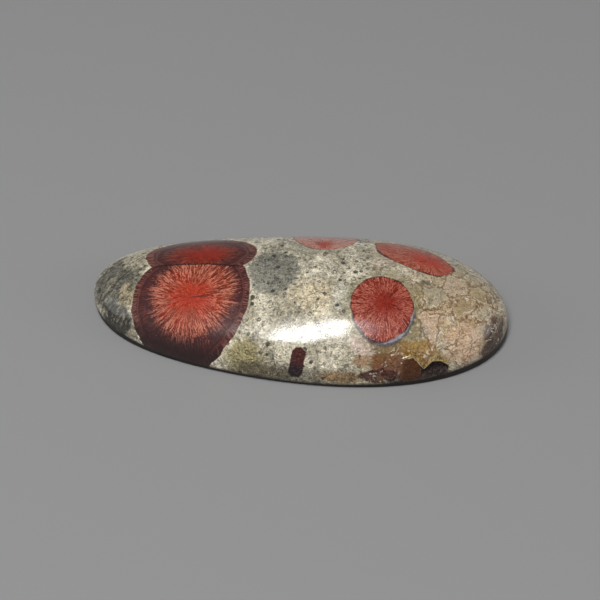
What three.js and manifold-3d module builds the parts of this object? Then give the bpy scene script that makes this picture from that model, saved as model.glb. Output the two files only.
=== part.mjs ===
// Peanut obsidian cabochon: one polished stone with a smooth low dome, a thin edge all round
// and a flat ground back.
// Millimetres, +Z up. The stone lies on its back, its long axis is X and its wide end is
// towards +X. The origin is the middle of the back.
import * as THREE from "three";
import { mergeVertices } from "three/addons/utils/BufferGeometryUtils.js";
import Module from "manifold-3d";

const LENGTH = 44;
const HEIGHT = 7.16;

// The outline seen from above. u runs from -1 at the narrow end to 1 at the wide end,
// v from -1 in front to 1 behind.
const HALF_WIDTH = 9.656; // in the middle of the length
const WIDEN = [0.189, 0.141, -0.134]; // share by which the half width grows with u, u squared and u cubed
const SKEW = 0.11; // share by which opposite quarters of the outline are fuller
const BEND = [-0.25, 0.49]; // how far the middle line moves back with u and u squared

// The dome
const TOP_OFFSET = 0.2; // share of the half length by which the top lies towards the wide end
const DOME_POWER = 2.48; // 2 is an ellipse in section, more gives steeper sides and a flatter top

// The edge, or girdle, and the bevel under it
const EDGE_HEIGHT = 0.485; // in the middle of the length
const EDGE_RISE = [0.052, 0.778]; // how it rises with u and u squared
const BEVEL_INSET = 0.21; // how far the back's outline lies inside the edge

// The shallow pit low on the front, near the wide end: a smooth round dimple in the dome's side
const PIT_PLACE = new THREE.Vector3(15.0, -7.76, 1.92);
const PIT_FACING = new THREE.Vector3(0.36, -0.91, 0.2).normalize();
const PIT_RADIUS = 1.3;
const PIT_DEPTH = 0.45;

// The box that is rounded into the stone, and its cells
const BOX_SIDE = 2;
const CELLS_ALONG = 48;
const CELLS_ACROSS = 28;
const ROWS = 16; // from the box's upper edges down to the stone's edge
const ROW_DEPTH = 1; // rough stone below the back, for each row, which is ground off
const TABLE_SIZE = 60;
const SAME_PLACE = 1e-4;

function widthAt(u) {
  return (
    HALF_WIDTH * (1 + WIDEN[0] * u + WIDEN[1] * u * u + WIDEN[2] * u * u * u)
  );
}

function middleLine(u) {
  return BEND[0] * u + BEND[1] * u * u;
}

function edgeHeight(u) {
  return EDGE_HEIGHT + EDGE_RISE[0] * u + EDGE_RISE[1] * u * u;
}

// The dome is the upper half of a ball of radius 1 that is drawn out to the stone's plan and height.
function domePoint({ x: u, y: v, z: w }) {
  const edge = edgeHeight(u);
  return new THREE.Vector3(
    (LENGTH / 2) * (u + TOP_OFFSET * w * w),
    middleLine(u) + widthAt(u) * v * (1 + SKEW * u * v),
    edge + (HEIGHT - edge) * Math.pow(w, 2 / DOME_POWER),
  );
}

function edgePoint(turn) {
  return domePoint({ x: Math.cos(turn), y: Math.sin(turn), z: 0 });
}

// The bevel goes in and down from the edge, and its slope goes on through the back.
function bevelPoint(turn, height) {
  const step = 0.001;
  const before = edgePoint(turn - step);
  const after = edgePoint(turn + step);
  const outwards = new THREE.Vector3(after.y - before.y, before.x - after.x, 0);
  const place = edgePoint(turn);
  const inset = (BEVEL_INSET * (place.z - height)) / place.z;
  return place.addScaledVector(outwards.normalize(), -inset).setZ(height);
}

// A place on a box from -1 to 1. Its upper half goes to the dome, and its lower half to the
// bevel and the rough stone below. The tangent spreads the cells evenly over the ball.
function stonePoint({ x, y, z }) {
  const ball = new THREE.Vector3(
    ...[x, y, z].map((side) => Math.tan((side * Math.PI) / 4)),
  ).normalize();
  if (z >= 0) return domePoint(ball);
  const rowsDown = Math.round(-z * ROWS);
  const place = bevelPoint(
    Math.atan2(ball.y, ball.x),
    (1 - rowsDown) * ROW_DEPTH,
  );
  const ring = Math.max(Math.abs(x), Math.abs(y));
  return new THREE.Vector3(place.x * ring, place.y * ring, place.z);
}

function roughStone() {
  const geometry = new THREE.BoxGeometry(
    BOX_SIDE,
    BOX_SIDE,
    BOX_SIDE,
    CELLS_ALONG,
    CELLS_ACROSS,
    2 * ROWS,
  );
  const places = geometry.getAttribute("position");
  for (let i = 0; i < places.count; i++) {
    const place = new THREE.Vector3().fromBufferAttribute(places, i);
    place.copy(stonePoint(place));
    places.setXYZ(i, place.x, place.y, place.z);
  }
  geometry.computeBoundingBox();
  const middle = geometry.boundingBox.getCenter(new THREE.Vector3());
  return geometry.translate(-middle.x, -middle.y, 0);
}

function sinkPit(geometry) {
  const places = geometry.getAttribute("position");
  const place = new THREE.Vector3();
  for (let i = 0; i < places.count; i++) {
    place.fromBufferAttribute(places, i);
    const away = Math.min(place.distanceTo(PIT_PLACE) / PIT_RADIUS, 1);
    place.addScaledVector(PIT_FACING, -PIT_DEPTH * (1 - away * away) ** 2);
    places.setXYZ(i, place.x, place.y, place.z);
  }
  return geometry;
}

const wasm = await Module();
wasm.setup();

function toSolid(geometry) {
  const bare = new THREE.BufferGeometry()
    .setAttribute("position", geometry.getAttribute("position"))
    .setIndex(geometry.getIndex());
  const merged = mergeVertices(bare, SAME_PLACE);
  return new wasm.Manifold(
    new wasm.Mesh({
      numProp: 3,
      vertProperties: merged.getAttribute("position").array,
      triVerts: new Uint32Array(merged.getIndex().array),
    }),
  );
}

function toGeometry(solid) {
  const mesh = solid.getMesh();
  return new THREE.BufferGeometry()
    .setAttribute("position", new THREE.BufferAttribute(mesh.vertProperties, 3))
    .setIndex(new THREE.BufferAttribute(mesh.triVerts, 1));
}

// The back is ground flat: all that lies below the height of zero is cut away.
function groundFlat(rough) {
  const below = new THREE.BoxGeometry(
    TABLE_SIZE,
    TABLE_SIZE,
    TABLE_SIZE,
  ).translate(0, 0, -TABLE_SIZE / 2);
  return toGeometry(toSolid(rough).subtract(toSolid(below)));
}

const polishedStone = new THREE.MeshStandardMaterial({
  color: 0x9c8f7c,
  roughness: 0.12,
  metalness: 0,
});

const cabochon = new THREE.Mesh(
  groundFlat(sinkPit(roughStone())),
  polishedStone,
);
cabochon.name = "cabochon";

const stone = new THREE.Group();
stone.add(cabochon);

export default stone;
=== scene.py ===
import math
import bpy
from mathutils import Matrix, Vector


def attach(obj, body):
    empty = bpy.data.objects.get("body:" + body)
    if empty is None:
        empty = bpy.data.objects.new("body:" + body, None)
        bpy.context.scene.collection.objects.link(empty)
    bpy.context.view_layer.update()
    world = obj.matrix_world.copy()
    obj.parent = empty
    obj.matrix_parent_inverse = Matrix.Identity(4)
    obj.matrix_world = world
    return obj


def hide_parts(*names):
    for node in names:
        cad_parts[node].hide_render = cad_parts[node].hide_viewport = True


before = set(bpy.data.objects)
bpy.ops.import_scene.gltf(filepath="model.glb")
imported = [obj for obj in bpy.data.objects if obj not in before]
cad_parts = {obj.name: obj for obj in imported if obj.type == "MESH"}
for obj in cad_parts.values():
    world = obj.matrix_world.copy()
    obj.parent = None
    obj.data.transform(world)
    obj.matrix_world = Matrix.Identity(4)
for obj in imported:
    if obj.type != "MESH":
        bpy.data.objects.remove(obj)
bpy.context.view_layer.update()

# The view: from the front and above, a little to the right of the middle, with a long lens.
camera_place = Vector((0.0150, -0.1252, 0.1243))
camera_target = Vector((0.00012, 0.00042, 0.00211))
lens_mm = 100
sensor_mm = 36
nearest_seen = 0.005

bpy.ops.object.camera_add(location=camera_place)
camera = bpy.context.object
camera.name = "view_camera"
camera.rotation_euler = (camera_target - camera_place).to_track_quat("-Z", "Y").to_euler()
camera.data.lens = lens_mm
camera.data.sensor_width = sensor_mm
camera.data.clip_start = nearest_seen
bpy.context.scene.camera = camera
bpy.context.scene.view_settings.view_transform = "Standard"

# The stone: one lump of volcanic glass, sawn, ground to an egg-shaped plan with a flat back and a
# small bevel, and domed and polished by hand. Its mesh is a copy of the solid's, smoothed, with its
# edges slightly rounded. What is worked by place, below, counts in millimetres.
mm_per_m = 1000
same_place = 1e-6
back_facing = -0.99
edge_rounding = 0.00008
rounding_rows = 2
smoothing_levels = 2
smooth_angle = math.radians(35)


def select_faces(mesh, rule):
    """Selects, from object mode, the faces that the rule picks, and nothing else."""
    for element in (*mesh.vertices, *mesh.edges, *mesh.polygons):
        element.select = False
    for face in mesh.polygons:
        face.select = rule(face)


def touches_ground(face):
    return any(stone.data.vertices[i].co.z < same_place for i in face.vertices)


stone = bpy.data.objects.new("polished_stone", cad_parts["cabochon"].data.copy())
bpy.context.collection.objects.link(stone)
bpy.ops.object.select_all(action="DESELECT")
stone.select_set(True)
bpy.context.view_layer.objects.active = stone

bpy.ops.object.mode_set(mode="EDIT")
bpy.ops.mesh.select_mode(type="FACE")
bpy.ops.mesh.select_all(action="SELECT")
bpy.ops.mesh.remove_doubles(threshold=same_place)
bpy.ops.object.mode_set(mode="OBJECT")
select_faces(stone.data, lambda face: face.normal.z < back_facing)
bpy.ops.object.mode_set(mode="EDIT")
bpy.ops.mesh.dissolve_faces()
bpy.ops.mesh.select_all(action="SELECT")
any_angle = math.pi
bpy.ops.mesh.tris_convert_to_quads(face_threshold=any_angle, shape_threshold=any_angle, topology_influence=1)
bpy.ops.object.mode_set(mode="OBJECT")
stone.data.materials.clear()
stone.data.materials.append(bpy.data.materials.new("Polished spherulitic glass"))
stone.data.materials.append(bpy.data.materials.new("Ground glass in painted shade"))
for face in stone.data.polygons:
    face.material_index = int(touches_ground(face))
select_faces(stone.data, lambda face: touches_ground(face) and face.normal.z > back_facing)
bpy.ops.object.mode_set(mode="EDIT")
bpy.ops.mesh.region_to_loop()
bpy.ops.mesh.bevel(offset=edge_rounding, segments=rounding_rows, affect="EDGES")
bpy.ops.object.mode_set(mode="OBJECT")

smoothing = stone.modifiers.new("smoothing", "SUBSURF")
smoothing.levels = smoothing_levels
smoothing.render_levels = smoothing_levels
bpy.ops.object.modifier_apply(modifier=smoothing.name)

# The chip low on the stone's front: a flake of the glass broken out under a ragged lip, which left a
# steep wall and a dull hollow. The lip's points lie along the stone and up. The faces round the chip
# are made finer, and three groups of vertices are pushed: the waves of hand polishing, chip and lip.
chip_lip = [
    (11.2, 3.17), (11.49, 3.43), (11.97, 3.54), (12.57, 3.61), (13.12, 3.1), (13.74, 2.21),
    (14.13, 2.55), (14.47, 2.85), (14.9, 2.82), (15.33, 2.71), (16.03, 2.14), (16.5, 1.63),
]
chip_ends = (13.5, 16.4)
chip_end_slope = 0.3
chip_foot = 0.95
chip_foot_slope = 0.7
chip_wall = 0.16
chip_depth = 0.00045
lip_height = 0.00009
lip_width = 0.16
chip_area = Vector((14.0, -7.9, 2.4))
chip_reach = 3.3
chip_cuts = 2
wave_height = 0.00005
wave_length = 0.006
wave_from = 1.6
wave_to = 2.6


def ramp(value, start, end):
    """From 0 at the start to 1 at the end, with soft ends."""
    share = min(max((value - start) / (end - start), 0), 1)
    return share * share * (3 - 2 * share)


def lip_above(x):
    """How high the lip lies at a place along the stone, or 0 past its ends."""
    for (x0, z0), (x1, z1) in zip(chip_lip, chip_lip[1:]):
        if x0 <= x <= x1:
            return z0 + (z1 - z0) * (x - x0) / (x1 - x0)
    return 0


def give_weights(name, rule):
    """Makes a vertex group, with the weight that the rule gives each place."""
    group = stone.vertex_groups.new(name=name)
    for vertex in stone.data.vertices:
        weight = rule(vertex.co * mm_per_m)
        if weight > 0:
            group.add([vertex.index], weight, "REPLACE")


def chip_share(place):
    if place.y > 0 or not lip_above(place.x):
        return 0
    sides = ramp(place.x, chip_ends[0], chip_ends[0] + chip_end_slope)
    sides *= ramp(place.x, chip_ends[1], chip_ends[1] - chip_end_slope)
    under_lip = ramp(lip_above(place.x) - place.z, 0, chip_wall)
    return sides * under_lip * ramp(place.z, chip_foot, chip_foot + chip_foot_slope)


def lip_share(place):
    if place.y > 0 or not lip_above(place.x):
        return 0
    return ramp(abs(place.z - lip_above(place.x) - lip_width / 2), lip_width, 0)


select_faces(stone.data, lambda face: (face.center * mm_per_m - chip_area).length < chip_reach)
bpy.ops.object.mode_set(mode="EDIT")
bpy.ops.mesh.subdivide(number_cuts=chip_cuts, smoothness=1)
bpy.ops.object.mode_set(mode="OBJECT")
give_weights("dome", lambda place: ramp(place.z, wave_from, wave_to))
give_weights("chip", chip_share)
give_weights("lip", lip_share)
waves = bpy.data.textures.new("waves", "CLOUDS")
waves.noise_scale = wave_length
pushes = [
    # vertex group, height, the texture's level that stays in place, texture
    ("dome", wave_height, 0.5, waves),
    ("chip", -chip_depth, 0, None),
    ("lip", lip_height, 0, None),
]
for group, strength, middle, texture in pushes:
    push = stone.modifiers.new(group, "DISPLACE")
    push.vertex_group = group
    push.strength = strength
    push.mid_level = middle
    push.texture = texture
    bpy.ops.object.modifier_apply(modifier=push.name)
bpy.ops.object.shade_smooth_by_angle(angle=smooth_angle)

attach(stone, "root")
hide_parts("cabochon")


# The stone's looks: the polished glass shows what grew in it, balls of red fibres with dark rims, cut
# through by the polish, in a pale speckled ground. All of it is made by rule, in millimetres along,
# across and up in the stone's own frame.
def node_in(tree, kind, inputs=None, **settings):
    """Adds a shader node with its inputs, each a value or a socket, and gives back its outputs."""
    new = tree.nodes.new("ShaderNode" + kind)
    for name, value in settings.items():
        setattr(new, name, value)
    for key, value in (inputs or {}).items():
        if isinstance(value, bpy.types.NodeSocket):
            tree.links.new(value, new.inputs[key])
        else:
            new.inputs[key].default_value = value
    return new.outputs


def calc(tree, operation, a, b=0.0, c=0.0, clamp=False):
    """A number worked out from up to three others."""
    return node_in(tree, "Math", {0: a, 1: b, 2: c}, operation=operation, use_clamp=clamp)[0]


def vector(tree, operation, a, b=(0, 0, 0), c=(0, 0, 0)):
    """A vector, or the number that LENGTH, DISTANCE and DOT_PRODUCT give."""
    out = node_in(tree, "VectorMath", {0: a, 1: b, 2: c}, operation=operation)
    return out["Value" if operation in ("LENGTH", "DISTANCE", "DOT_PRODUCT") else "Vector"]


def step(tree, value, start, end, low=0.0, high=1.0):
    """A soft step: low up to start, high from end on. Start may be above end."""
    return node_in(tree, "MapRange", {0: value, 1: start, 2: end, 3: low, 4: high},
                   interpolation_type="SMOOTHSTEP")[0]


def mix(tree, share, a, b):
    """Colour a, with colour b over it by a share from 0 to 1."""
    return node_in(tree, "Mix", {0: share, 6: a, 7: b}, data_type="RGBA")[2]


def noise(tree, place, scale, detail=2.0, rough=0.5, **more):
    inputs = {"Vector": place, "Scale": scale, "Detail": detail, "Roughness": rough, **more}
    return node_in(tree, "TexNoise", inputs, noise_dimensions="4D" if "W" in more else "3D")


def parts_of(tree, place):
    """The three numbers of a place."""
    return node_in(tree, "SeparateXYZ", {0: place})


def all_three(tree, number):
    """A place that has the same number three times."""
    return node_in(tree, "CombineXYZ", {0: number, 1: number, 2: number})[0]


def away_from(tree, value, level):
    """How far a value lies from a level, on either side."""
    return calc(tree, "ABSOLUTE", calc(tree, "SUBTRACT", value, level))


def swing(tree, texture, width, value):
    """A value that a texture moves up and down, by half the width at most."""
    return calc(tree, "MULTIPLY_ADD", calc(tree, "SUBTRACT", texture, 0.5), width, value)


def paint(seen):
    """A colour as seen, such as c8bfa0, as linear red, green, blue and alpha."""
    parts = [int(seen[i:i + 2], 16) / 255 for i in (0, 2, 4)]
    return [p / 12.92 if p < 0.04045 else ((p + 0.055) / 1.055) ** 2.4 for p in parts] + [1.0]


def group_of(name, inputs, outputs):
    """A node group with its sockets: the group, its inputs by name, and its outputs by name."""
    tree = bpy.data.node_groups.new(name, "ShaderNodeTree")
    for side, sockets in (("INPUT", inputs), ("OUTPUT", outputs)):
        for socket, kind in sockets.items():
            tree.interface.new_socket(socket, in_out=side, socket_type="NodeSocket" + kind)
    return tree, tree.nodes.new("NodeGroupInput").outputs, tree.nodes.new("NodeGroupOutput").inputs


def use(tree, made, **inputs):
    """A node group placed in a tree, with its inputs named with _ for a space."""
    new = tree.nodes.new("ShaderNodeGroup")
    new.node_tree = made
    for key, value in inputs.items():
        socket = new.inputs[key.replace("_", " ")]
        if isinstance(value, bpy.types.NodeSocket):
            tree.links.new(value, socket)
        else:
            socket.default_value = value
    return new.outputs


# Fibre ball: a ball of fibres that spread from its heart, with a dark band and a rim. It gives the
# colour at a place, how deep the place lies inside the rim, and whether it belongs to the ball.
ball_group, ball, ball_out = group_of(
    "Fibre ball",
    {
        "Place": "Vector", "Centre": "Vector", "Radius": "Float", "Heart": "Vector", "Heart size": "Float",
        "Rim": "Float", "Band": "Float", "Band fade": "Float", "Lean": "Vector", "Seed": "Float",
        "Heart colour": "Color", "Fibre colour": "Color", "Pale colour": "Color", "Dark colour": "Color",
        "Band colour": "Color", "Rim colour": "Color",
    },
    {"Colour": "Color", "Depth": "Float", "Mask": "Float"},
)
rim_wobble = 0.5
heart_stretch = (1.0, 1.0, 0.3)
fibre_bend = (0.4, 0.4, 0.4)
bundle_scale = 2.6
bundle_change = 0.16
fibre_scale = 34.0
fibre_change = 0.022
tick_scale = 55.0
t = ball_group
wobble = noise(t, ball["Place"], 0.7, 2, W=ball["Seed"])["Fac"]
reach = swing(t, wobble, rim_wobble, vector(t, "DISTANCE", ball["Place"], ball["Centre"]))
depth = calc(t, "SUBTRACT", ball["Radius"], reach)

# its fibres, as noise over the way from the heart, which changes slowly along them
from_heart = vector(t, "MULTIPLY", vector(t, "SUBTRACT", ball["Place"], ball["Heart"]), heart_stretch)
heart_distance = vector(t, "LENGTH", from_heart)
bent = vector(t, "SUBTRACT", noise(t, ball["Place"], 1.3, 1, W=ball["Seed"])["Color"], (0.5, 0.5, 0.5))
way = vector(t, "NORMALIZE", vector(t, "MULTIPLY_ADD", bent, fibre_bend, from_heart))
along = calc(t, "MULTIPLY_ADD", heart_distance, bundle_change, ball["Seed"])
bundles = noise(t, way, bundle_scale, 3, 0.6, W=along)["Fac"]
along_fine = calc(t, "MULTIPLY_ADD", heart_distance, fibre_change, ball["Seed"])
fibres = noise(t, way, fibre_scale, 2, 0.6, W=along_fine)["Fac"]
speckle = noise(t, ball["Place"], 5.5, 2, 0.6)["Fac"]
fine = calc(t, "ADD", calc(t, "MULTIPLY", fibres, 0.75), calc(t, "MULTIPLY", speckle, 0.25))

# its inside: a hot heart, pale and dark fibres, dark wedges and a small dark core
in_heart = calc(t, "DIVIDE", heart_distance, ball["Heart size"])
bundle_lift = calc(t, "SUBTRACT", bundles, 0.5)
heat = step(t, calc(t, "MULTIPLY_ADD", bundle_lift, 3.2, in_heart), 1.1, 0.35)
colour = mix(t, heat, ball["Fibre colour"], ball["Heart colour"])
pale_share = step(t, calc(t, "MULTIPLY_ADD", bundle_lift, -1.5, in_heart), 0.35, 1.2, 0.2, 0.8)
pale_share = calc(t, "MULTIPLY", step(t, fine, 0.49, 0.57), pale_share)
colour = mix(t, pale_share, colour, ball["Pale colour"])
colour = mix(t, step(t, fine, 0.49, 0.41, 0.0, 0.7), colour, ball["Dark colour"])
wedge = calc(t, "MULTIPLY", step(t, bundles, 0.44, 0.34), step(t, in_heart, 1.2, 0.6, 0.0, 0.7))
colour = mix(t, wedge, colour, ball["Dark colour"])
core = step(t, calc(t, "MULTIPLY_ADD", bundle_lift, 0.8, in_heart), 0.2, 0.05, 0.0, 0.2)
colour = mix(t, core, colour, ball["Dark colour"])

# its dark band, which the fibres run into, wider on the side that it leans from
lean_centre = vector(t, "ADD", ball["Centre"], ball["Lean"])
lean_depth = calc(t, "SUBTRACT", ball["Radius"], vector(t, "DISTANCE", ball["Place"], lean_centre))
ragged = swing(t, fine, calc(t, "MULTIPLY", ball["Band fade"], 2.3), lean_depth)
band = step(t, ragged, calc(t, "ADD", ball["Band"], ball["Band fade"]), ball["Band"])
band_colour = mix(t, step(t, fine, 0.5, 0.62, 0.0, 0.35), ball["Band colour"], ball["Fibre colour"])
band_colour = mix(t, step(t, fine, 0.5, 0.4, 0.0, 0.4), band_colour, ball["Dark colour"])
colour = mix(t, band, colour, band_colour)

# its rim with fine ticks across, and inside a wide rim a thin pale line and a thin dark line
ticks = noise(t, way, tick_scale, 1, 0.5, W=ball["Seed"])["Fac"]
rim_colour = mix(t, step(t, ticks, 0.48, 0.6), ball["Band colour"], ball["Rim colour"])
rim_colour = mix(t, 0.3, rim_colour, ball["Dark colour"])
in_rim = step(t, depth, ball["Rim"], calc(t, "SUBTRACT", ball["Rim"], 0.08))
colour = mix(t, in_rim, colour, rim_colour)
wide_rim = step(t, ball["Rim"], 0.2, 0.4)
above_rim = calc(t, "SUBTRACT", depth, ball["Rim"])
line = step(t, away_from(t, above_rim, 0.06), 0.09, 0.02, 0.0, 0.2)
colour = mix(t, calc(t, "MULTIPLY", line, wide_rim), colour, ball["Rim colour"])
dark_line = step(t, away_from(t, above_rim, 0.24), 0.16, 0.02, 0.0, 0.4)
colour = mix(t, calc(t, "MULTIPLY", dark_line, wide_rim), colour, ball["Dark colour"])
t.links.new(colour, ball_out["Colour"])
t.links.new(depth, ball_out["Depth"])
t.links.new(step(t, depth, 0.0, 0.07), ball_out["Mask"])

# Cloud: a soft, ragged patch round a place, as long along the stone as Length and as wide as Width
cloud_group, cloud, cloud_out = group_of(
    "Cloud",
    {
        "Place": "Vector", "Centre": "Vector", "Length": "Float", "Width": "Float", "Soft": "Float",
        "Ragged": "Float",
    },
    {"Mask": "Float"},
)
t = cloud_group
offset = vector(t, "SUBTRACT", cloud["Place"], cloud["Centre"])
span = node_in(t, "CombineXYZ", {0: cloud["Length"], 1: cloud["Width"], 2: cloud["Width"]})[0]
share = vector(t, "LENGTH", vector(t, "DIVIDE", offset, span))
share = swing(t, noise(t, cloud["Place"], 0.9, 5, 0.65)["Fac"], cloud["Ragged"], share)
outside = calc(t, "ADD", 1.0, cloud["Soft"])
inside = calc(t, "SUBTRACT", 1.0, cloud["Soft"])
t.links.new(step(t, share, outside, inside), cloud_out["Mask"])

# Streak: how far a place lies from a straight stretch, and how far along the stretch
streak_group, streak, streak_out = group_of(
    "Streak",
    {"Place": "Vector", "Start": "Vector", "End": "Vector"},
    {"Distance": "Float", "Run": "Float"},
)
t = streak_group
whole = vector(t, "SUBTRACT", streak["End"], streak["Start"])
part = vector(t, "SUBTRACT", streak["Place"], streak["Start"])
run = vector(t, "DOT_PRODUCT", part, whole)
run = calc(t, "DIVIDE", run, vector(t, "DOT_PRODUCT", whole, whole), clamp=True)
beside = vector(t, "SUBTRACT", part, vector(t, "MULTIPLY", whole, all_three(t, run)))
t.links.new(vector(t, "LENGTH", beside), streak_out["Distance"])
t.links.new(run, streak_out["Run"])

# Pores: round dots of many sizes, some with a pale middle. Few leaves out that share of them.
pore_group, pore, pore_out = group_of(
    "Pores",
    {"Place": "Vector", "Scale": "Float", "Size": "Float", "Few": "Float"},
    {"Dots": "Float"},
)
t = pore_group
shaken = noise(t, pore["Place"], 1.6, 1)["Color"]
shaken = vector(t, "MULTIPLY_ADD", shaken, (0.2, 0.2, 0.2), pore["Place"])
cells = node_in(t, "TexVoronoi", {"Vector": shaken, "Scale": pore["Scale"], "Randomness": 1.0})
lot = node_in(t, "SeparateColor", {0: cells["Color"]})
size = calc(t, "MULTIPLY", pore["Size"], step(t, lot[0], pore["Few"], 1.0))
from_rim = calc(t, "SUBTRACT", cells["Distance"], size)
chosen = step(t, lot[0], pore["Few"], calc(t, "ADD", pore["Few"], 0.05))
dots = calc(t, "MULTIPLY", step(t, from_rim, 0.07, -0.08), chosen)
hollow = calc(t, "MULTIPLY", step(t, from_rim, -0.08, -0.14), step(t, lot[1], 0.4, 0.5))
t.links.new(calc(t, "SUBTRACT", dots, hollow, clamp=True), pore_out["Dots"])

# The polished glass: the places and the textures that the layers below share
stone.data.materials[0].use_nodes = True
t = stone.data.materials[0].node_tree
shader = t.nodes["Principled BSDF"]
mm = vector(t, "MULTIPLY", node_in(t, "TexCoord")["Object"], (mm_per_m, mm_per_m, mm_per_m))
along_stone, across_stone, up = parts_of(t, mm)
grain = noise(t, mm, 3.4, 2, 0.6)["Fac"]
fine_grain = noise(t, mm, 9.0, 2, 0.6)["Fac"]
mottle = noise(t, mm, 1.3, 3, 0.6)["Fac"]
drift = noise(t, mm, 0.4, 5, 0.65)["Fac"]

# The ground: pale khaki with softer and darker drifts
colour = mix(t, step(t, drift, 0.36, 0.64), paint("b4ab94"), paint("e8dec6"))
soft_patches = [
    # colour, centre, length, width, softness, raggedness, strength
    ("5f5d53", (-19.3, -0.8, 3.8), 3.0, 3.2, 0.25, 1.0, 0.9),
    ("c2b89e", (-17.0, 2.0, 4.7), 2.0, 1.6, 0.3, 1.4, 0.8),
    ("b8a988", (-17.6, -3.2, 3.9), 0.9, 1.7, 0.2, 1.0, 0.85),
    ("302f29", (-18.7, -5.0, 2.2), 2.3, 1.9, 0.2, 0.9, 0.95),
    ("70716a", (-2.5, -0.5, 6.9), 2.6, 3.1, 0.1, 0.8, 0.75),
    ("9a9783", (-0.9, 3.4, 6.7), 3.0, 1.8, 0.4, 1.4, 0.5),
    ("ead7b2", (1.9, -3.6, 6.8), 2.2, 2.0, 0.5, 1.4, 0.6),
    ("c4c1b2", (5.0, -3.4, 6.8), 1.1, 1.8, 0.4, 1.4, 0.6),
    ("a09360", (-4.6, -9.1, 2.6), 1.9, 1.9, 0.4, 1.4, 0.8),
    ("6c634c", (-2.6, -9.7, 1.3), 3.4, 1.2, 0.4, 1.2, 0.9),
    ("6d6857", (1.6, -9.8, 1.6), 3.0, 1.1, 0.4, 1.2, 0.7),
    ("9c7a52", (5.6, -9.7, 1.5), 2.2, 0.8, 0.4, 1.4, 0.85),
    ("d0b28a", (16.0, -2.6, 5.9), 4.6, 4.2, 0.4, 1.2, 0.8),
    ("b7a37b", (18.2, 1.0, 5.4), 2.4, 2.2, 0.4, 1.4, 0.6),
    ("99957f", (13.7, -0.9, 6.5), 1.6, 1.0, 0.3, 1.4, 0.6),
    ("4a4c41", (13.1, -0.2, 6.6), 0.55, 0.35, 0.4, 1.6, 0.8),
    ("4a4c41", (14.9, -1.3, 6.3), 0.5, 0.5, 0.4, 1.6, 0.8),
    ("8f9088", (13.5, -5.6, 5.4), 0.6, 0.7, 0.3, 0.8, 0.6),
]


def lay_patches(colour, patches, strength_by=1.0):
    """Lays soft ragged patches over a colour, each with its own strength."""
    for seen, centre, length, width, soft, ragged, strength in patches:
        cloud = use(t, cloud_group, Place=mm, Centre=centre, Length=length, Width=width, Soft=soft,
                    Ragged=ragged)
        share = calc(t, "MULTIPLY", cloud["Mask"], calc(t, "MULTIPLY", strength_by, strength))
        colour = mix(t, share, colour, paint(seen))
    return colour


colour = lay_patches(colour, soft_patches)

# Its grain, and its fine curved lines, which also wrinkle the surface a little
right_end = step(t, along_stone, 6.5, 9.0)
narrow_end = step(t, along_stone, -15.5, -17.5)
calmer_right = calc(t, "MULTIPLY_ADD", right_end, -0.3, 1.0)
ground_brightness = 1.16
brightness = 0.0
wrinkles = 0.0
for texture, strength in ((mottle, 0.9), (grain, 0.6), (fine_grain, 0.4)):
    brightness = swing(t, texture, strength, brightness)
for scale, strength in ((0.8, -0.4), (1.3, 0.5), (1.9, -0.45), (2.6, 0.45)):
    swirl = noise(t, mm, scale, 1, 0.5, Distortion=1.2)["Fac"]
    line = step(t, away_from(t, swirl, 0.5), 0.06, 0.012)
    brightness = calc(t, "MULTIPLY_ADD", line, strength, brightness)
    wrinkles = calc(t, "ADD", line, wrinkles)
brightness = calc(t, "MULTIPLY_ADD", brightness, calmer_right, ground_brightness)
colour = vector(t, "MULTIPLY", colour, all_three(t, brightness))

# The streaks of the narrow end, dark and pale, which lean across the stone
leaning = {"Vector": mm, "Angle": math.radians(-45)}
leaning = node_in(t, "VectorRotate", leaning, rotation_type="Z_AXIS")[0]
streaks = noise(t, vector(t, "MULTIPLY", leaning, (0.35, 2.0, 1.0)), 1.3, 3, 0.6)["Fac"]
for none, full, strength, seen in ((0.5, 0.38, 0.75, "34342d"), (0.55, 0.68, 0.5, "cfc5a8")):
    share = calc(t, "MULTIPLY", step(t, streaks, none, full, 0.0, strength), narrow_end)
    colour = mix(t, share, colour, paint(seen))

# The lumps of the wide end, each pink, ochre or cream by lot
lump_scale = 0.38
bent_place = vector(t, "MULTIPLY_ADD", noise(t, mm, 0.8, 4, 0.6)["Color"], (2.2, 2.2, 2.2), mm)
lumps = {"Vector": bent_place, "Scale": lump_scale}
crack = node_in(t, "TexVoronoi", lumps, feature="DISTANCE_TO_EDGE")["Distance"]
lump_lot = node_in(t, "SeparateColor", {0: node_in(t, "TexVoronoi", lumps)["Color"]})
inside_lump = step(t, crack, 0.02, 0.2, 0.5, 1.0)
for lot, seen in ((lump_lot[0], "ecc9ae"), (lump_lot[1], "a89562"), (lump_lot[2], "d8cdb2")):
    share = calc(t, "MULTIPLY", step(t, lot, 0.45, 0.8, 0.0, 0.6), right_end)
    colour = mix(t, calc(t, "MULTIPLY", share, inside_lump), colour, paint(seen))

# Pores of three sizes, crowded in places and fewer at the wide end, where painted glints lie
big_pores = use(t, pore_group, Place=mm, Scale=1.0, Size=0.27, Few=0.5)["Dots"]
pores = use(t, pore_group, Place=mm, Scale=1.5, Size=0.38, Few=0.2)["Dots"]
fine_pores = use(t, pore_group, Place=mm, Scale=3.0, Size=0.38, Few=0.1)["Dots"]
crowd = step(t, noise(t, mm, 0.35, 2)["Fac"], 0.38, 0.5, 0.55, 1.0)
all_pores = calc(t, "MULTIPLY", calc(t, "MAXIMUM", big_pores, pores), crowd)
fewer_right = calc(t, "MULTIPLY_ADD", right_end, -0.45, 0.85)
fine_share = calc(t, "MULTIPLY", fine_pores, calc(t, "MULTIPLY", fewer_right, 0.6))
colour = mix(t, fine_share, colour, paint("56554a"))
colour = mix(t, calc(t, "MULTIPLY", all_pores, fewer_right), colour, paint("30332d"))
# Painted glints: small white dots at the wide end that stand for light sparkling off tiny crystals
painted_glints = node_in(t, "TexVoronoi", {"Vector": bent_place, "Scale": 1.6})
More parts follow.
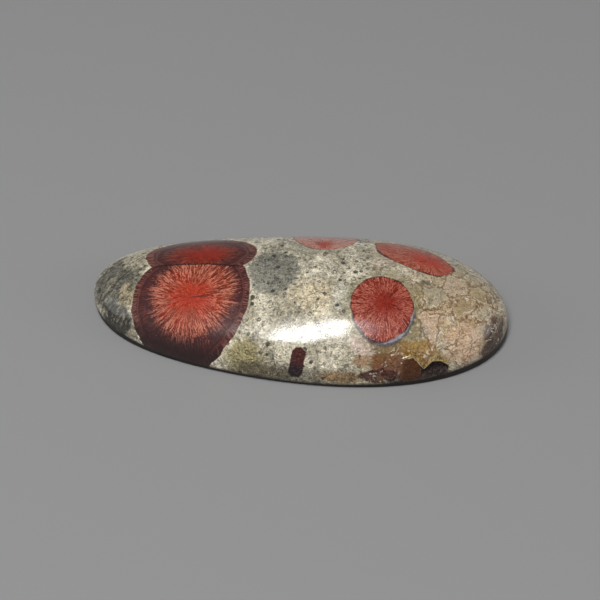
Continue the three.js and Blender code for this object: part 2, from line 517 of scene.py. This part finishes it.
glint_lot = node_in(t, "SeparateColor", {0: painted_glints["Color"]})[0]
glint_share = step(t, painted_glints["Distance"], 0.32, 0.16)
glint_share = calc(t, "MULTIPLY", glint_share, step(t, glint_lot, 0.55, 0.65))
glint_share = calc(t, "MULTIPLY", glint_share, calc(t, "MULTIPLY", right_end, 0.8))
colour = mix(t, glint_share, colour, paint("fff8ee"))

# The clear brown, wine-red and ochre glass low on the right, with little grain
clear_patches = [
    # colour, centre, length, width, softness, raggedness, strength
    ("84481c", (11.2, -8.6, 2.9), 3.3, 1.6, 0.12, 1.2, 0.97),
    ("9a6c3c", (10.5, -7.8, 4.4), 2.2, 0.8, 0.25, 2.2, 0.75),
    ("c3954a", (13.3, -7.3, 4.2), 2.4, 0.9, 0.25, 2.2, 0.75),
    ("4a0e13", (9.4, -9.3, 1.8), 2.2, 0.9, 0.1, 1.2, 0.97),
    ("21130f", (12.8, -8.9, 1.0), 3.6, 0.6, 0.3, 1.0, 0.95),
    ("382523", (20.7, -3.7, 2.0), 1.4, 3.0, 0.3, 1.8, 0.97),
    ("ffe6d6", (7.5, -8.0, 4.7), 1.3, 1.0, 0.3, 1.3, 1.0),
    ("c9a27c", (7.6, -9.0, 3.4), 1.0, 0.7, 0.3, 1.3, 0.85),
    ("f2cca8", (17.6, -5.6, 3.8), 2.2, 2.1, 0.2, 1.2, 0.8),
]
colour = lay_patches(colour, clear_patches, step(t, grain, 0.35, 0.7, 1.0, 0.85))
dark_crack = use(t, streak_group, Place=mm, Start=(6.95, -8.54, 4.22), End=(7.53, -9.59, 1.61))
dark_crack = swing(t, mottle, 1.2, dark_crack["Distance"])
colour = mix(t, step(t, dark_crack, 0.2, 0.05, 0.0, 0.85), colour, paint("3a2015"))

# The cracks of the wide end, round its lumps and across them, with a painted highlight along the sides of
# the big ones
fine_crack = {"Vector": bent_place, "Scale": 0.9}
fine_crack = node_in(t, "TexVoronoi", fine_crack, feature="DISTANCE_TO_EDGE")["Distance"]
cracks = [
    # distance from the crack, where its colour starts and is full, strength, colour
    (crack, 0.04, 0.008, 0.75, "7a5438"),
    (fine_crack, 0.06, 0.01, 0.55, "8a6a48"),
]
for distance, none, full, strength, seen in cracks:
    share = calc(t, "MULTIPLY", step(t, distance, none, full, 0.0, strength), right_end)
    colour = mix(t, share, colour, paint(seen))
# Painted highlight: a pale line on each side of the big cracks, where light catches their edges
painted_crack_highlight = step(t, away_from(t, crack, 0.08), 0.035, 0.01, 0.0, 0.7)
painted_crack_highlight = calc(t, "MULTIPLY", painted_crack_highlight, step(t, streaks, 0.5, 0.6))
colour = mix(t, calc(t, "MULTIPLY", painted_crack_highlight, right_end), colour, paint("fff2de"))

# Near its edge, which rises towards both ends, the colour turns dark brown, darkest at the edge
half_length = 22.0
edge_in_middle = 0.485
edge_rise = 0.052
edge_rise_squared = 0.778
along_share = calc(t, "DIVIDE", along_stone, half_length)
edge_height = calc(t, "MULTIPLY_ADD", along_share, edge_rise, edge_in_middle)
edge_height = calc(t, "MULTIPLY_ADD", calc(t, "MULTIPLY", along_share, along_share), edge_rise_squared,
                   edge_height)
over_edge = calc(t, "SUBTRACT", up, edge_height)
colour = mix(t, step(t, over_edge, 0.45, 0.0, 0.0, 0.8), colour, paint("2c1f17"))

# The chip's lip as a curve over the places along the stone: an ochre sheet of glass above it, a painted
# highlight along its torn edge, and below it, in the dull hollow, a dark colour
lip_curve = t.nodes.new("ShaderNodeFloatCurve")
lip_start, lip_start_height = chip_lip[0]
lip_end, lip_end_height = chip_lip[-1]
lip_span = lip_end - lip_start
curve_top = 5.0
points = lip_curve.mapping.curves[0].points
for x, z in chip_lip[1:-1]:
    points.new((x - lip_start) / lip_span, z / curve_top)
points[0].location = (0.0, lip_start_height / curve_top)
points[len(points) - 1].location = (1.0, lip_end_height / curve_top)
for point in points:
    point.handle_type = "VECTOR"
lip_curve.mapping.update()
along_lip = calc(t, "DIVIDE", calc(t, "SUBTRACT", along_stone, lip_start), lip_span)
t.links.new(along_lip, lip_curve.inputs["Value"])
over_lip = calc(t, "MULTIPLY_ADD", lip_curve.outputs[0], -curve_top, up)
over_lip = swing(t, grain, 0.25, over_lip)
by_lip = calc(t, "MULTIPLY", step(t, along_stone, 11.3, 11.9), step(t, along_stone, 16.4, 16.1))
by_lip = calc(t, "MULTIPLY", by_lip, step(t, across_stone, -5.0, -6.0))
sheet_share = calc(t, "MULTIPLY", step(t, over_lip, -0.03, 0.03), step(t, over_lip, 1.1, 0.3))
sheet_share = calc(t, "MULTIPLY", sheet_share, calc(t, "MULTIPLY", by_lip, 0.85))
colour = mix(t, sheet_share, colour, mix(t, step(t, grain, 0.4, 0.6), paint("84652f"), paint("c7a865")))
under_lip = calc(t, "MULTIPLY", step(t, over_lip, 0.0, -0.08), step(t, up, 0.7, 1.1))
under_colour = mix(t, step(t, grain, 0.4, 0.65), paint("1b1216"), paint("4a383c"))
under_colour = mix(t, step(t, along_stone, 13.2, 13.8), paint("5c3318"), under_colour)
colour = mix(t, calc(t, "MULTIPLY", under_lip, calc(t, "MULTIPLY", by_lip, 0.95)), colour, under_colour)
# Painted highlight: a pale line along the lip, where light catches its torn edge
painted_lip_highlight = step(t, calc(t, "ABSOLUTE", over_lip), 0.11, 0.03, 0.0, 0.85)
colour = mix(t, calc(t, "MULTIPLY", painted_lip_highlight, by_lip), colour, paint("f0dcae"))

# The bar: a rod of dark fibres, cut along
bar = use(t, streak_group, Place=mm, Start=(1.1, -9.04, 3.7), End=(0.84, -9.79, 1.85))
bar_colour = mix(t, step(t, bar["Run"], 0.35, 0.9), paint("4f211e"), paint("241a22"))
bar_colour = mix(t, step(t, grain, 0.5, 0.7, 0.0, 0.5), bar_colour, paint("7a4038"))
colour = mix(t, step(t, swing(t, grain, 0.35, bar["Distance"]), 0.76, 0.66), colour, bar_colour)

# The five balls, each with its own centre, sizes and reds. Two are longish, and each of these is a
# round ball in a space that is stretched along its own axis.
reds = {
    "Heart_colour": "b93419", "Fibre_colour": "96402a", "Pale_colour": "d68c74", "Dark_colour": "46130c",
    "Band_colour": "472a2b", "Rim_colour": "9a6658",
}


def grow_ball(place, centre, radius, heart, heart_size, rim, band, fade, seed, lean=(0, 0, 0), **own_reds):
    """A ball of fibres, in the common reds where it has none of its own."""
    tints = {part: paint(seen) for part, seen in {**reds, **own_reds}.items()}
    return use(t, ball_group, Place=place, Centre=centre, Radius=radius, Heart=heart, Heart_size=heart_size,
               Rim=rim, Band=band, Band_fade=fade, Seed=seed, Lean=lean, **tints)


def stretched(centre, length, turn):
    """The space of a longish ball: its middle, its length over its width, and its turn in degrees."""
    inputs = {
        "Vector": mm, "Location": centre, "Scale": (length, 1.0, 1.0),
        "Rotation": (0.0, 0.0, math.radians(turn)),
    }
    return node_in(t, "Mapping", inputs, vector_type="TEXTURE")[0]


big_ball = grow_ball(
    mm, centre=(-10.38, -3.22, 3.21), radius=6.67, heart=(-10.7, -4.0, 5.6), heart_size=2.9,
    rim=0.58, band=1.15, fade=1.3, seed=1.0, lean=(0.35, 0.4, 0.0),
)
behind_ball = grow_ball(
    stretched((-9.3, 1.87, 3.5), length=1.9, turn=-1.5),
    centre=(0.0, 0.0, 0.0), radius=4.02, heart=(-0.51, 0.53, 2.45), heart_size=1.7,
    rim=0.4, band=0.55, fade=0.7, seed=2.0,
    Fibre_colour="702210", Pale_colour="9c4a34", Heart_colour="981e04",
)
small_centre = (8.7, -2.85, 2.26)
small_ball = grow_ball(
    mm, centre=small_centre, radius=5.5, heart=(9.3, -3.6, 6.6), heart_size=1.8,
    rim=0.02, band=0.04, fade=0.14, seed=3.0,
    Fibre_colour="923222", Pale_colour="c67c68", Heart_colour="8e1804", Rim_colour="6e4434",
)
top_ball = grow_ball(
    mm, centre=(2.25, 5.57, 2.74), radius=4.57, heart=(2.25, 4.82, 6.35), heart_size=1.2,
    rim=0.02, band=0.03, fade=0.1, seed=4.0,
    Fibre_colour="bc7a66", Pale_colour="deb4a2", Rim_colour="5c4a30",
)
far_ball = grow_ball(
    stretched((11.42, 3.41, 3.49), length=1.82, turn=-22.3),
    centre=(0.0, 0.0, 0.0), radius=3.6, heart=(0.77, 0.93, 2.65), heart_size=1.3,
    rim=0.02, band=0.03, fade=0.1, seed=5.0,
    Fibre_colour="a24630", Pale_colour="c47e68", Dark_colour="6a2014", Rim_colour="4c3028",
)

# Where balls meet, the one that a place lies deeper in shows. A depth in the longish ball behind
# counts for more, as its space is drawn out.
behind_counts = 2.05
behind_depth = calc(t, "MULTIPLY", behind_ball["Depth"], behind_counts)
others = [
    (behind_ball, behind_depth),
    (small_ball, small_ball["Depth"]),
    (top_ball, top_ball["Depth"]),
    (far_ball, far_ball["Depth"]),
]
deepest = big_ball["Depth"]
ball_colour = big_ball["Colour"]
all_balls = big_ball["Mask"]
for grown, its_depth in others:
    ball_colour = mix(t, calc(t, "GREATER_THAN", its_depth, deepest), ball_colour, grown["Colour"])
    deepest = calc(t, "MAXIMUM", deepest, its_depth)
    all_balls = calc(t, "MAXIMUM", all_balls, grown["Mask"])

# The two big balls part along a dark line, and a painted shade darkens them low down, towards the edge of
# the stone
both = calc(t, "MINIMUM", big_ball["Depth"], behind_depth)
parting = step(t, away_from(t, big_ball["Depth"], behind_depth), 0.3, 0.08, 0.0, 0.75)
parting = calc(t, "MULTIPLY", parting, step(t, both, 0.1, 0.4))
ball_colour = mix(t, parting, ball_colour, paint("240d0c"))
# Painted shade: the big balls turn near-black low down on the stone
low = calc(t, "MULTIPLY", step(t, up, 4.2, 1.8, 0.0, 0.85), step(t, along_stone, -2.0, -4.0))
ball_colour = mix(t, low, ball_colour, paint("2a1a1b"))

# Round the small ball, an olive halo above and a pale lavender crescent below, with a dark outline.
# The pale crescent is a painted reflection: light caught in a crack round the ball
halo = step(t, small_ball["Depth"], -0.7, -0.05, 0.0, 0.6)
halo = calc(t, "MULTIPLY", halo, step(t, grain, 0.3, 0.6, 0.4, 1.0))
colour = mix(t, halo, colour, paint("8f8250"))
crescent_centre = (8.84, -2.98, 2.26)
crescent_radius = 5.46
towards_front = (0.2, -0.98, 0.0)
crescent = calc(t, "SUBTRACT", crescent_radius, vector(t, "DISTANCE", mm, crescent_centre))
crescent = swing(t, grain, 0.25, crescent)
below = vector(t, "DOT_PRODUCT", vector(t, "SUBTRACT", mm, small_centre), towards_front)
below = step(t, below, 1.0, 2.4)
# The second row paints the reflection, the pale lavender of the crescent
for none, full, strength, seen in ((-0.06, 0.0, 0.8, "5a5960"), (0.06, 0.13, 0.9, "b4afb8")):
    share = calc(t, "MULTIPLY", below, step(t, crescent, none, full, 0.0, strength))
    colour = mix(t, share, colour, paint(seen))
colour = mix(t, all_balls, colour, ball_colour)
t.links.new(colour, shader.inputs["Base Color"])

# The finish: a wet-looking polish over a ground that scatters a little, rougher with its grain
# outside the balls and bumped at its pores, thinner near the edge and worn off in the chip
relief_height = 0.00013
not_ball = calc(t, "SUBTRACT", 1.0, all_balls)
roughness = step(t, calc(t, "MULTIPLY", grain, not_ball), 0.2, 0.6, 0.13, 0.36)
t.links.new(roughness, shader.inputs["Roughness"])
relief = calc(t, "ADD", grain, calc(t, "MULTIPLY", fine_grain, 0.4))
relief = calc(t, "SUBTRACT", relief, calc(t, "MULTIPLY", all_pores, 0.8))
relief = calc(t, "MULTIPLY_ADD", wrinkles, -0.35, relief)
relief = calc(t, "MULTIPLY", relief, calc(t, "MULTIPLY_ADD", not_ball, 0.85, 0.15))
bump = node_in(t, "Bump", {"Strength": 1.0, "Distance": relief_height, "Height": relief})["Normal"]
t.links.new(bump, shader.inputs["Normal"])
shader.inputs["IOR"].default_value = 1.5
shader.inputs["Specular IOR Level"].default_value = 0.25
unbroken = calc(t, "MULTIPLY_ADD", calc(t, "MULTIPLY", under_lip, by_lip), -0.8, 1.0)
coat = calc(t, "MULTIPLY", step(t, up, 1.0, 4.5, 0.3, 1.0), unbroken)
t.links.new(coat, shader.inputs["Coat Weight"])
shader.inputs["Coat Roughness"].default_value = 0.13
shader.inputs["Coat IOR"].default_value = 1.5

# The bevel and the back: ground but hardly polished, with fine scratches, and painted near-black as shade,
# since the bevel faces down under the dome
stone.data.materials[1].use_nodes = True
t = stone.data.materials[1].node_tree
shader = t.nodes["Principled BSDF"]
mm = vector(t, "MULTIPLY", node_in(t, "TexCoord")["Object"], (mm_per_m, mm_per_m, mm_per_m))
clouding = noise(t, mm, 0.5, 4, 0.6)["Fac"]
scratches = noise(t, vector(t, "MULTIPLY", mm, (1.0, 9.0, 1.0)), 2.0, 3, 0.6)["Fac"]
# Painted shade: near-black colour for the shade that the downward-facing bevel lies in
colour = mix(t, step(t, clouding, 0.35, 0.7), paint("17110f"), paint("2a211c"))
colour = mix(t, step(t, scratches, 0.55, 0.75, 0, 0.4), colour, paint("3d362e"))
t.links.new(colour, shader.inputs["Base Color"])
t.links.new(step(t, scratches, 0.3, 0.7, 0.4, 0.6), shader.inputs["Roughness"])
shader.inputs["Specular IOR Level"].default_value = 0.25
scratch_depth = 0.00003
bump = node_in(t, "Bump", {"Strength": 0.3, "Distance": scratch_depth, "Height": scratches})["Normal"]
t.links.new(bump, shader.inputs["Normal"])

# The floor: a plain sheet of pale grey matt card that the stone lies on. It is made flat and wide, as
# stage and not as a part of the stone.
floor_size = 3.0
card_grey = "929292"
bpy.ops.object.select_all(action="DESELECT")
bpy.ops.mesh.primitive_plane_add(size=floor_size)
floor = bpy.context.object
floor.name = "floor"
sheet = bpy.data.materials.new("Pale sheet")
sheet.use_nodes = True
shader = sheet.node_tree.nodes["Principled BSDF"]
shader.inputs["Base Color"].default_value = paint(card_grey)
shader.inputs["Roughness"].default_value = 0.9
floor.data.materials.append(sheet)

# The light: one soft box nearly overhead with a wide weak glow round it, a weak one at each side, and
# a dim room that is paler near the floor
room_overhead = 0.08
room_low = 0.2
soft_boxes = [
    # name, direction from the stone, distance, sizes from side to side and from front to back, watts
    ("soft_box_above", (-0.115, -0.37, 0.92), 0.5, (0.09, 0.38), 1.65),
    ("soft_glow_above", (-0.115, -0.37, 0.92), 0.52, (0.22, 0.44), 0.5),
    ("soft_box_left", (-0.93, -0.1, 0.35), 0.5, (0.3, 0.3), 0.4),
    ("soft_box_right", (0.93, -0.1, 0.35), 0.5, (0.3, 0.3), 0.4),
]

for name, way, distance, size, watts in soft_boxes:
    way = Vector(way).normalized()
    bpy.ops.object.light_add(type="AREA", location=way * distance)
    lamp = bpy.context.object
    lamp.name = name
    lamp.data.shape = "ELLIPSE"
    lamp.data.size, lamp.data.size_y = size
    lamp.data.energy = watts
    lamp.rotation_euler = (-way).to_track_quat("-Z", "Y").to_euler()
room = bpy.data.worlds.new("pale_room")
room.use_nodes = True
t = room.node_tree
height = parts_of(t, node_in(t, "TexCoord")["Generated"])[2]
grey = step(t, height, 0.0, 0.7, room_low, room_overhead)
grey = node_in(t, "CombineColor", {0: grey, 1: grey, 2: grey})[0]
t.links.new(grey, t.nodes["Background"].inputs["Color"])
bpy.context.scene.world = room
